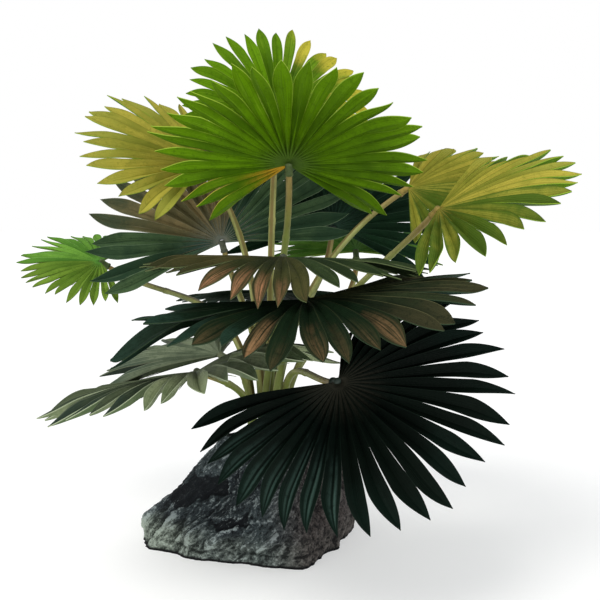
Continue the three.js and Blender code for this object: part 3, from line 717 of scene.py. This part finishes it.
def dent(place, middle, lean, length, height, depth):
    """How deep a place lies in a broken-out facet of the front, sharp along its lower edge: 0 to 1."""
    turn = math.radians(lean)
    jag = wander(place, DENT_JAGS)
    front = 1 - smoothstep(place.y + DENT_BACK_JAG * jag.y, 0, DENT_BACK)
    right, up = place.x + jag.x - middle[0], place.z + jag.z - middle[1]
    along = (right * math.cos(turn) + up * math.sin(turn)) / length
    above = (up * math.cos(turn) - right * math.sin(turn)) / height
    roof = ROOF_HEIGHT - ROOF_FALL_RIGHT * max(0, along) - ROOF_FALL_LEFT * max(0, -along)
    inside = smoothstep(above, *DENT_FLOOR) * (1 - smoothstep(above - roof, *DENT_ROOF))
    return float(depth * front * inside * (1 - smoothstep(abs(along), *DENT_ENDS)))


def blurred(values, reach):
    """A grid averaged over a square of cells, round the rock and up it."""
    steps = range(-reach, reach + 1)
    around = sum(np.roll(values, step, axis=1) for step in steps) / len(steps)
    padded = np.pad(around, ((reach, reach), (0, 0)), mode="edge")
    return sum(padded[reach + step:reach + step + len(values)] for step in steps) / len(steps)


def make_rock(material):
    """The rock: rings up its side and over its top to the well, moved by crags, dents and a groove."""
    noise.seed_set(ROCK_SEED)
    streak = Vector(unit(STREAK))
    azimuths = circle(ROCK_SIDES)
    levels = np.linspace(0, 1, ROCK_RINGS)
    mouth = SOCKET_RADIUS + MOUTH_PLAY
    narrowest = mouth + RIM_WIDTH
    radius = np.stack([rock_radius(azimuth, levels) for azimuth in azimuths], 1)
    radius = np.maximum(radius, narrowest)
    top_radius = mouth + (radius[-1] - mouth) * np.linspace(1, 0, TOP_RINGS + 1)[1:, None]
    radius = np.concatenate([radius, top_radius, top_radius[-1:]])
    well = ROCK_HEIGHT - WELL_DEPTH
    height = np.concatenate([ROCK_HEIGHT * levels, np.full(TOP_RINGS, ROCK_HEIGHT), [well]])[:, None]
    outward = np.stack([np.cos(azimuths), np.sin(azimuths)], 1)
    points = np.zeros((len(height), ROCK_SIDES, 3))
    points[..., :2] = on_axis(0)[:2] + radius[..., None] * outward
    points[..., 2] = height

    relief, hollow = np.zeros((2, *radius.shape))
    for row, side in np.ndindex(len(height) - 1, ROCK_SIDES):
        place = Vector(points[row, side])
        hollow[row, side] = max(dent(place, *shape) for shape in ROCK_DENTS)
        relief[row, side] = crags(place, streak)
    relief = relief * (1 - DENT_SMOOTHING * hollow)
    waver = np.array([noise.noise(Vector((*way, 0))) for way in GROOVE_WAVES * outward])
    groove = np.exp(-((height - GROOVE_LEVEL - GROOVE_WAVER * waver) / GROOVE_HALF) ** 2)
    groove = smoothstep(-np.sin(azimuths), *GROOVE_FACING) * groove
    cut = relief - DENT_DEPTH * hollow - GROOVE_DEPTH * groove
    level = height / ROCK_HEIGHT
    strength = np.minimum(1, CRAG_FOOT + CRAG_RISE * level)
    strength = strength * (1 - CRAG_TOP_LOSS * smoothstep(level, CRAG_TOP, 1))
    shift = np.maximum((strength * cut)[:ROCK_RINGS], narrowest - radius[:ROCK_RINGS])
    points[:ROCK_RINGS, :, :2] += shift[..., None] * outward
    points[ROCK_RINGS:-1, :, 2] += TOP_RELIEF * np.minimum(relief[ROCK_RINGS:-1], 0) - TOP_DROP
    ridge = relief - blurred(relief, RIDGE_CELLS) - groove
    ridge = ridge / ridge.std()

    mesher = Mesher("hollow", "level", "ridge")
    values = (hollow, np.repeat(level, ROCK_SIDES), ridge)
    mesher.add_rings(points, (on_axis(0), on_axis(well)), values, ((0, 0, 0), (0, 1, 0)))
    piece = mesher.build("rock", [material])
    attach(piece, "root")
    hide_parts("rock_base")


def make_crown(material):
    """The plug that the stems stand in: a low lumpy mound that fills the rock's socket."""
    mound = []
    for share in (1 - ring / PLUG_RINGS for ring in range(PLUG_RINGS)):
        for azimuth in circle(PLUG_SIDES):
            x = CROWN_X + PLUG_RADIUS * share * math.cos(azimuth)
            y = CROWN_Y + PLUG_RADIUS * share * math.sin(azimuth)
            lump = noise.fractal(Vector((x, y, 0)) * LUMP_SCALE, *LUMPS)
            rise = MOUND_RISE * (1 - share ** 2)
            mound.append((x, y, ROCK_HEIGHT - MOUND_EDGE + rise + LUMP_HEIGHT * lump))
    foot, top = ROCK_HEIGHT - PLUG_DEPTH, ROCK_HEIGHT - PLUG_TOP
    wall = [(x, y, foot) for x, y, z in mound[:PLUG_SIDES]]
    mesher = Mesher()
    rings = np.reshape(wall + mound, (-1, PLUG_SIDES, 3))
    mesher.add_rings(rings, (on_axis(foot), on_axis(top)))
    piece = mesher.build("crown_plug", [material])
    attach(piece, "root")
    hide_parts("stem_crown")


# Materials


class Nodes:
    """Short ways to add nodes to one material, whose colours are laid over a first one."""

    def __init__(self, name, roughness, specular, colour):
        self.material = bpy.data.materials.new(name)
        self.material.use_nodes = True
        self.tree = self.material.node_tree
        self.shader = self.tree.nodes["Principled BSDF"]
        self.colour = colour
        self.give("Specular IOR Level", specular)
        self.give("Roughness", roughness)

    def link(self, source, target):
        """Joins a socket to another one, or sets that to a number or to a colour given from 0 to 255."""
        if isinstance(source, (int, float)):
            target.default_value = source
        elif isinstance(source, tuple):
            target.default_value = linear(source)
        else:
            self.tree.links.new(source, target)

    def give(self, name, source):
        self.link(source, self.shader.inputs[name])

    def add(self, kind, **inputs):
        """A new node with some of its inputs set or joined."""
        node = self.tree.nodes.new(f"ShaderNode{kind}")
        for name, source in inputs.items():
            self.link(source, node.inputs[name.replace("_", " ").title()])
        return node

    def attribute(self, name):
        node = self.add("Attribute")
        node.attribute_name = name
        return node.outputs["Fac"]

    def coordinates(self, scale=(1, 1, 1), turn=(0, 0, 0)):
        """Places on the object in axes turned by turn, drawn out along them by scale."""
        mapping = self.add("Mapping", vector=self.add("TexCoord").outputs["Object"])
        mapping.vector_type = "TEXTURE"
        mapping.inputs["Scale"].default_value = scale
        mapping.inputs["Rotation"].default_value = turn
        return mapping.outputs["Vector"]

    def noise(self, vector, scale, detail=4, roughness=0.6, **more):
        node = self.add("TexNoise", vector=vector, scale=scale, detail=detail, roughness=roughness, **more)
        return node.outputs["Fac"]

    def math(self, operation, *values):
        node = self.add("Math")
        node.operation = operation
        for value, target in zip(values, node.inputs):
            self.link(value, target)
        return node.outputs[0]

    def plus(self, *values):
        return reduce(partial(self.math, "ADD"), values)

    def times(self, *values):
        return reduce(partial(self.math, "MULTIPLY"), values)

    def swing(self, value, size):
        """A value from 0 to 1 as one from minus half of size to plus half of it."""
        return self.times(self.plus(value, -0.5), size)

    def ramp(self, value, low, high, least=0.0, most=1.0):
        """A value from low to high turned smoothly into one from least to most."""
        node = self.add("MapRange", value=value, from_min=low, from_max=high, to_min=least, to_max=most)
        node.interpolation_type = "SMOOTHSTEP"
        return node.outputs["Result"]

    def mix(self, share, first, second):
        node = self.add("Mix", factor=share)
        node.data_type = "RGBA"
        self.link(first, node.inputs[6])  # the colour pair among the node's inputs
        self.link(second, node.inputs[7])
        return node.outputs[2]

    def lay(self, share, colour):
        """Lays a colour over what is there."""
        self.colour = self.mix(share, self.colour, colour)

    def bump(self, height, strength, distance):
        node = self.add("Bump", height=height, strength=strength, distance=distance)
        self.give("Normal", node.outputs["Normal"])

    def finish(self, roughness=None):
        self.give("Base Color", self.colour)
        if roughness is not None:
            self.give("Roughness", roughness)
        return self.material


def leaf_material(name, main, shade, tip, hub, line, patch=None, painted_sheen=None, tip_reach=0.5, edge=0.35,
                  hub_reach=0.3):
    """A pressed leaf: mottled, withered towards the tips (painted sunlight on the coat with yellow tips),
    streaked lengthwise, flecked, with painted shade along the midrib's crease and painted edge light and
    shadow on seams and rims.
    """
    n = Nodes(f"leaf_{name}", 0.6, 0.04, main)
    along, side, tone = map(n.attribute, ("along", "across", "tone"))
    across = n.math("ABSOLUTE", side)
    place = n.coordinates()
    blotch = n.noise(place, 70)
    fleck = n.noise(place, 380, roughness=0.7)
    speck = n.noise(place, 900, detail=3, roughness=0.7)
    lengthwise = n.add("CombineXYZ", x=n.times(side, 4.0), y=n.times(along, 1.3), z=n.times(tone, 37.0))
    streak = n.noise(lengthwise.outputs["Vector"], 1.6, roughness=0.65)
    mottle = n.plus(n.times(tone, 0.55), n.times(blotch, 0.8))
    rim = n.plus(across, n.swing(blotch, 0.6))
    wither_and_sun = n.plus(along, n.swing(blotch, 0.5), n.swing(tone, 0.3))

    n.lay(n.ramp(mottle, 0.35, 1.0), shade)
    n.lay(n.ramp(rim, 0.6, 1.0, most=edge), shade)
    # painted shade along the midrib's crease
    n.lay(n.ramp(across, 0.12, 0.0, most=0.5), shade)
    # the tips' colour; on the coat with yellow tips this is painted sunlight
    n.lay(n.ramp(wither_and_sun, 0.62, 0.98, most=tip_reach), tip)
    if patch:
        n.lay(n.times(n.ramp(wither_and_sun, 0.55, 1.0), n.ramp(rim, 1.05, 0.2),
                      n.ramp(streak, 0.6, 0.42, least=0.15), n.ramp(tone, 0.2, 0.9, least=0.15)), patch)
    # painted reflection: a pale sheen band on either side of the fold, on the leaflets that have it
    if painted_sheen:
        n.lay(n.times(n.ramp(across, 0.05, 0.25), n.ramp(across, 0.65, 0.3), n.ramp(wither_and_sun, 0.5, 0.8),
                      n.ramp(along, 1.0, 0.85), n.ramp(side, -0.5, 0.3, least=0.2, most=0.7)), painted_sheen)
    n.lay(n.ramp(streak, 0.48, 0.7, most=0.45), shade)
    n.lay(n.ramp(streak, 0.42, 0.28, most=0.22), line)
    n.lay(n.times(n.ramp(along, hub_reach, 0.02), n.ramp(across, 0.9, 0.1, most=0.8)), hub)
    n.lay(n.ramp(speck, 0.55, 0.72, most=0.35), shade)
    n.lay(n.ramp(fleck, 0.53, 0.68, most=0.5), shade)
    # seams and cut rims in the line colour: painted edge light where it is pale, painted shadow lines where
    # it is dark
    n.lay(n.ramp(across, 0.93, 0.99, most=0.5), line)
    n.lay(n.ramp(tone, 1.4, 1.6, most=0.8), line)
    veins = n.math("SINE", n.times(side, 34.0))
    n.bump(n.plus(n.times(veins, 0.35), speck, streak), strength=0.4, distance=0.0003)
    return n.finish(n.ramp(speck, 0.3, 0.8, least=0.5, most=0.7))


def socket_material(slot, pale, dark):
    n = Nodes(f"socket_{slot}", 0.55, 0.15, pale)
    n.lay(n.ramp(n.noise(n.coordinates(), 260), 0.35, 0.65), dark)
    return n.finish()


def stem_material():
    """A moulded stem: brown along its channel, with paler ridges beside it, and a brown head."""
    n = Nodes("stem", 0.5, 0.2, STEM_COLOURS["channel"])
    along, around, tone = map(n.attribute, ("along", "around", "tone"))
    streak = n.noise(n.coordinates(scale=(1, 1, 8)), 700, roughness=0.65)
    blotch = n.noise(n.coordinates(), 60, detail=3)
    layers = dict(ridge=n.ramp(around, 0.1, 0.32), side=n.ramp(around, 0.35, 0.75),
                  blotch=n.ramp(blotch, 0.45, 0.7, most=0.55), head=n.ramp(along, 0.75, 1.0, most=0.6),
                  streak=n.ramp(streak, 0.5, 0.75, most=0.45), green=n.times(tone, 0.25))
    for name, share in layers.items():
        n.lay(share, STEM_COLOURS[name])
    n.bump(streak, strength=0.3, distance=0.0003)
    return n.finish(n.ramp(streak, 0.3, 0.8, least=0.4, most=0.6))


def rock_material():
    """Cast slate: dark cracks, dry pale ridges, lichen low on the left, brown on the right, painted shade in
    the broken-out recesses and a painted shadow along the foot.
    """
    paint = ROCK_COLOURS
    n = Nodes("rock", 0.85, 0.15, paint["slate"])
    hollow, level, ridge = map(n.attribute, ("hollow", "level", "ridge"))
    slanted = n.coordinates(scale=(3, 1, 1), turn=(0.0, -math.radians(40), 0.0))
    plain = n.coordinates()
    right = n.add("SeparateXYZ", vector=plain).outputs["X"]
    patch = n.noise(plain, 30)
    grain = n.noise(plain, 700, roughness=0.7)
    scratch = n.noise(slanted, 400, detail=5, roughness=0.75, distortion=0.6)
    cloud = n.noise(slanted, 60, detail=5, roughness=0.65, distortion=1.0)
    high = n.plus(n.times(ridge, 0.5), n.times(scratch, 7.0), n.times(grain, 5.0), -6.0)

    n.lay(n.ramp(patch, 0.35, 0.65), paint["pale_slate"])
    n.lay(n.ramp(high, -0.1, -1.3, most=0.85), paint["crack"])
    n.lay(n.times(n.ramp(high, 0.2, 1.6, most=0.75), n.ramp(cloud, 0.3, 0.55, least=0.3)), paint["dry"])
    low = n.ramp(n.plus(level, n.swing(cloud, 0.3)), 0.31, 0.14, most=0.8)
    lichen = n.mix(n.ramp(high, -1.3, 1.3), *paint["lichen"])
    n.lay(n.times(low, n.ramp(right, -0.015, -0.06, least=0.35)), lichen)
    brown = n.mix(n.ramp(high, -1.2, 1.2), *paint["brown"])
    n.lay(n.ramp(n.plus(right, n.times(patch, 0.03)), 0.02, 0.055, most=0.85), brown)
    # painted shade in the broken-out recesses, darker where they lie deeper and less on high ridges
    deep = n.plus(hollow, n.swing(cloud, 0.9), n.ramp(high, 0.6, 1.8, most=-0.35))
    n.lay(n.ramp(deep, 0.3, 0.55, most=0.88), paint["hollow"])
    # painted shadow along the foot where the rock meets the floor
    n.lay(n.ramp(level, 0.035, 0.012), paint["foot"])
    n.bump(n.plus(scratch, n.times(grain, 0.7)), strength=0.9, distance=0.0016)
    return n.finish(n.ramp(grain, 0.3, 0.7, least=0.7, most=0.95))


def crown_material(earth, moss):
    n = Nodes("crown", 0.9, 0.2, earth)
    lump = n.noise(n.coordinates(), 220, roughness=0.7)
    n.lay(n.ramp(lump, 0.35, 0.65), moss)
    n.bump(lump, strength=0.6, distance=0.001)
    return n.finish()


def floor_material():
    n = Nodes("floor", 0.9, 0.0, FLOOR_GREY)
    n.give("Emission Color", (255, 255, 255))
    n.give("Emission Strength", FLOOR_GLOW)
    return n.finish()


# Stage


def add_light(name, kind, place, settings):
    """A light at a place, aimed at the middle of the plant."""
    lamp = bpy.data.lights.new(name, kind)
    for setting, value in settings.items():
        setattr(lamp, setting, value)
    light = bpy.data.objects.new(name, lamp)
    light.location = place
    light.rotation_euler = (Vector(AIM) - light.location).to_track_quat("-Z", "Y").to_euler()
    scene.collection.objects.link(light)


def make_world():
    """A sky that lights the plant softly and that the camera sees as plain white."""
    world = scene.world = bpy.data.worlds.new("studio")
    world.use_nodes = True
    tree = world.node_tree
    tree.nodes.clear()
    kinds = ("OutputWorld", "MixShader", "LightPath", "Background", "Background")
    output, mixed, rays, lit, seen = (tree.nodes.new(f"ShaderNode{kind}") for kind in kinds)
    seen.inputs["Color"].default_value = (1, 1, 1, 1)
    lit.inputs["Color"].default_value = SKY_COLOUR
    lit.inputs["Strength"].default_value = SKY_STRENGTH
    for source, target in zip((rays.outputs["Is Camera Ray"], lit.outputs[0], seen.outputs[0]), mixed.inputs):
        tree.links.new(source, target)
    tree.links.new(mixed.outputs[0], output.inputs["Surface"])


def make_stage():
    make_world()
    corners = [(x * FLOOR_HALF, y * FLOOR_HALF, 0) for x, y in ((-1, -1), (1, -1), (1, 1), (-1, 1))]
    mesh = bpy.data.meshes.new("floor")
    mesh.from_pydata(corners, [], [(0, 1, 2, 3)])
    mesh.materials.append(floor_material())
    floor = bpy.data.objects.new("floor", mesh)
    scene.collection.objects.link(floor)

    add_light("key", "SUN", KEY_PLACE, KEY)
    add_light("fill", "AREA", FILL_PLACE, FILL)

    lens = bpy.data.cameras.new("photo")
    lens.sensor_width = SENSOR_WIDTH
    lens.lens = FOCAL_PIXELS / FRAME_PIXELS * SENSOR_WIDTH
    camera = bpy.data.objects.new("photo", lens)
    camera.location = [value * MM for value in CAMERA_PLACE]
    camera.rotation_euler = (math.radians(90 - CAMERA_TILT), 0, 0)
    scene.collection.objects.link(camera)
    scene.camera = camera
    scene.view_settings.view_transform = "Standard"


make_stage()
leaf_materials = {name: leaf_material(name, *colours, **COAT_EXTRAS.get(name, {}))
                  for name, colours in COATS.items()}
for slot, colours in SOCKETS.items():
    leaf_materials[f"socket_{slot}"] = socket_material(slot, *colours)
stem_finish = stem_material()
for number, row in enumerate(LEAVES):
    leaf = Leaf(number, row)
    make_leaf(leaf, leaf_materials)
    make_stem(leaf, stem_finish)
make_rock(rock_material())
make_crown(crown_material(*PLUG_COLOURS))
